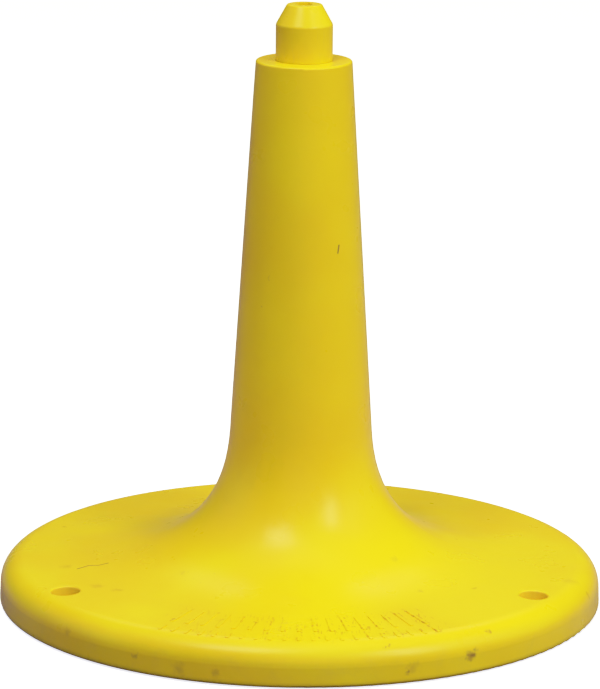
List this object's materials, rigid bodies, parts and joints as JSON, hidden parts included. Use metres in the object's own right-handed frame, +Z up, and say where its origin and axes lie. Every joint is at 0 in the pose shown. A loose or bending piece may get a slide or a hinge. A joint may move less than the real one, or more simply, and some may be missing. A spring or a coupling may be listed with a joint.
{
  "type": "delineator post base",
  "caption": "Round weighted pedestal base with a tapered stem and a screw-in spigot that carries a marker post's tube; hollow, sand filled, on rubber feet.",
  "frame": {"origin": "on the ground, under the centre of the base, where the object's vertical axis meets the plane of the feet", "axes": "+Z up along the stem and spigot; -Y is the front, with the grip bars; +X to the right seen from the front; one stake hole lies on +Y"},
  "size_m": [0.4062, 0.4062, 0.4064],
  "materials": {
    "shell": "satin",
    "plug": "satin",
    "insert": "satin",
    "seal": "satin",
    "sand": "matte",
    "vent": "satin",
    "feet": "matte"
  },
  "bodies": {
    "base": {"base_shell": "shell", "neck_insert": "insert", "sand_ballast": "sand", "vent_plug": "vent", "foot_1": "feet", "foot_2": "feet", "foot_3": "feet", "foot_4": "feet", "foot_5": "feet", "foot_6": "feet"},
    "seal": {"plug_o_ring": "seal"},
    "plug": {"spigot_plug": "plug"}
  },
  "joints": [
    {"name": "spigot_rise", "type": "slide", "parent": "base", "child": "seal", "axis": [0, 0, 1], "range_m": [0, 0.026]},
    {"name": "spigot_turn", "type": "hinge", "parent": "seal", "child": "plug", "pos_m": [0, 0, 0.3693], "axis": [0, 0, 1], "range_deg": [0, 2340]}
  ],
  "couplings": [
    {"joint": "spigot_rise", "follows": "spigot_turn", "m_per_rad": 0.00063662}
  ]
}
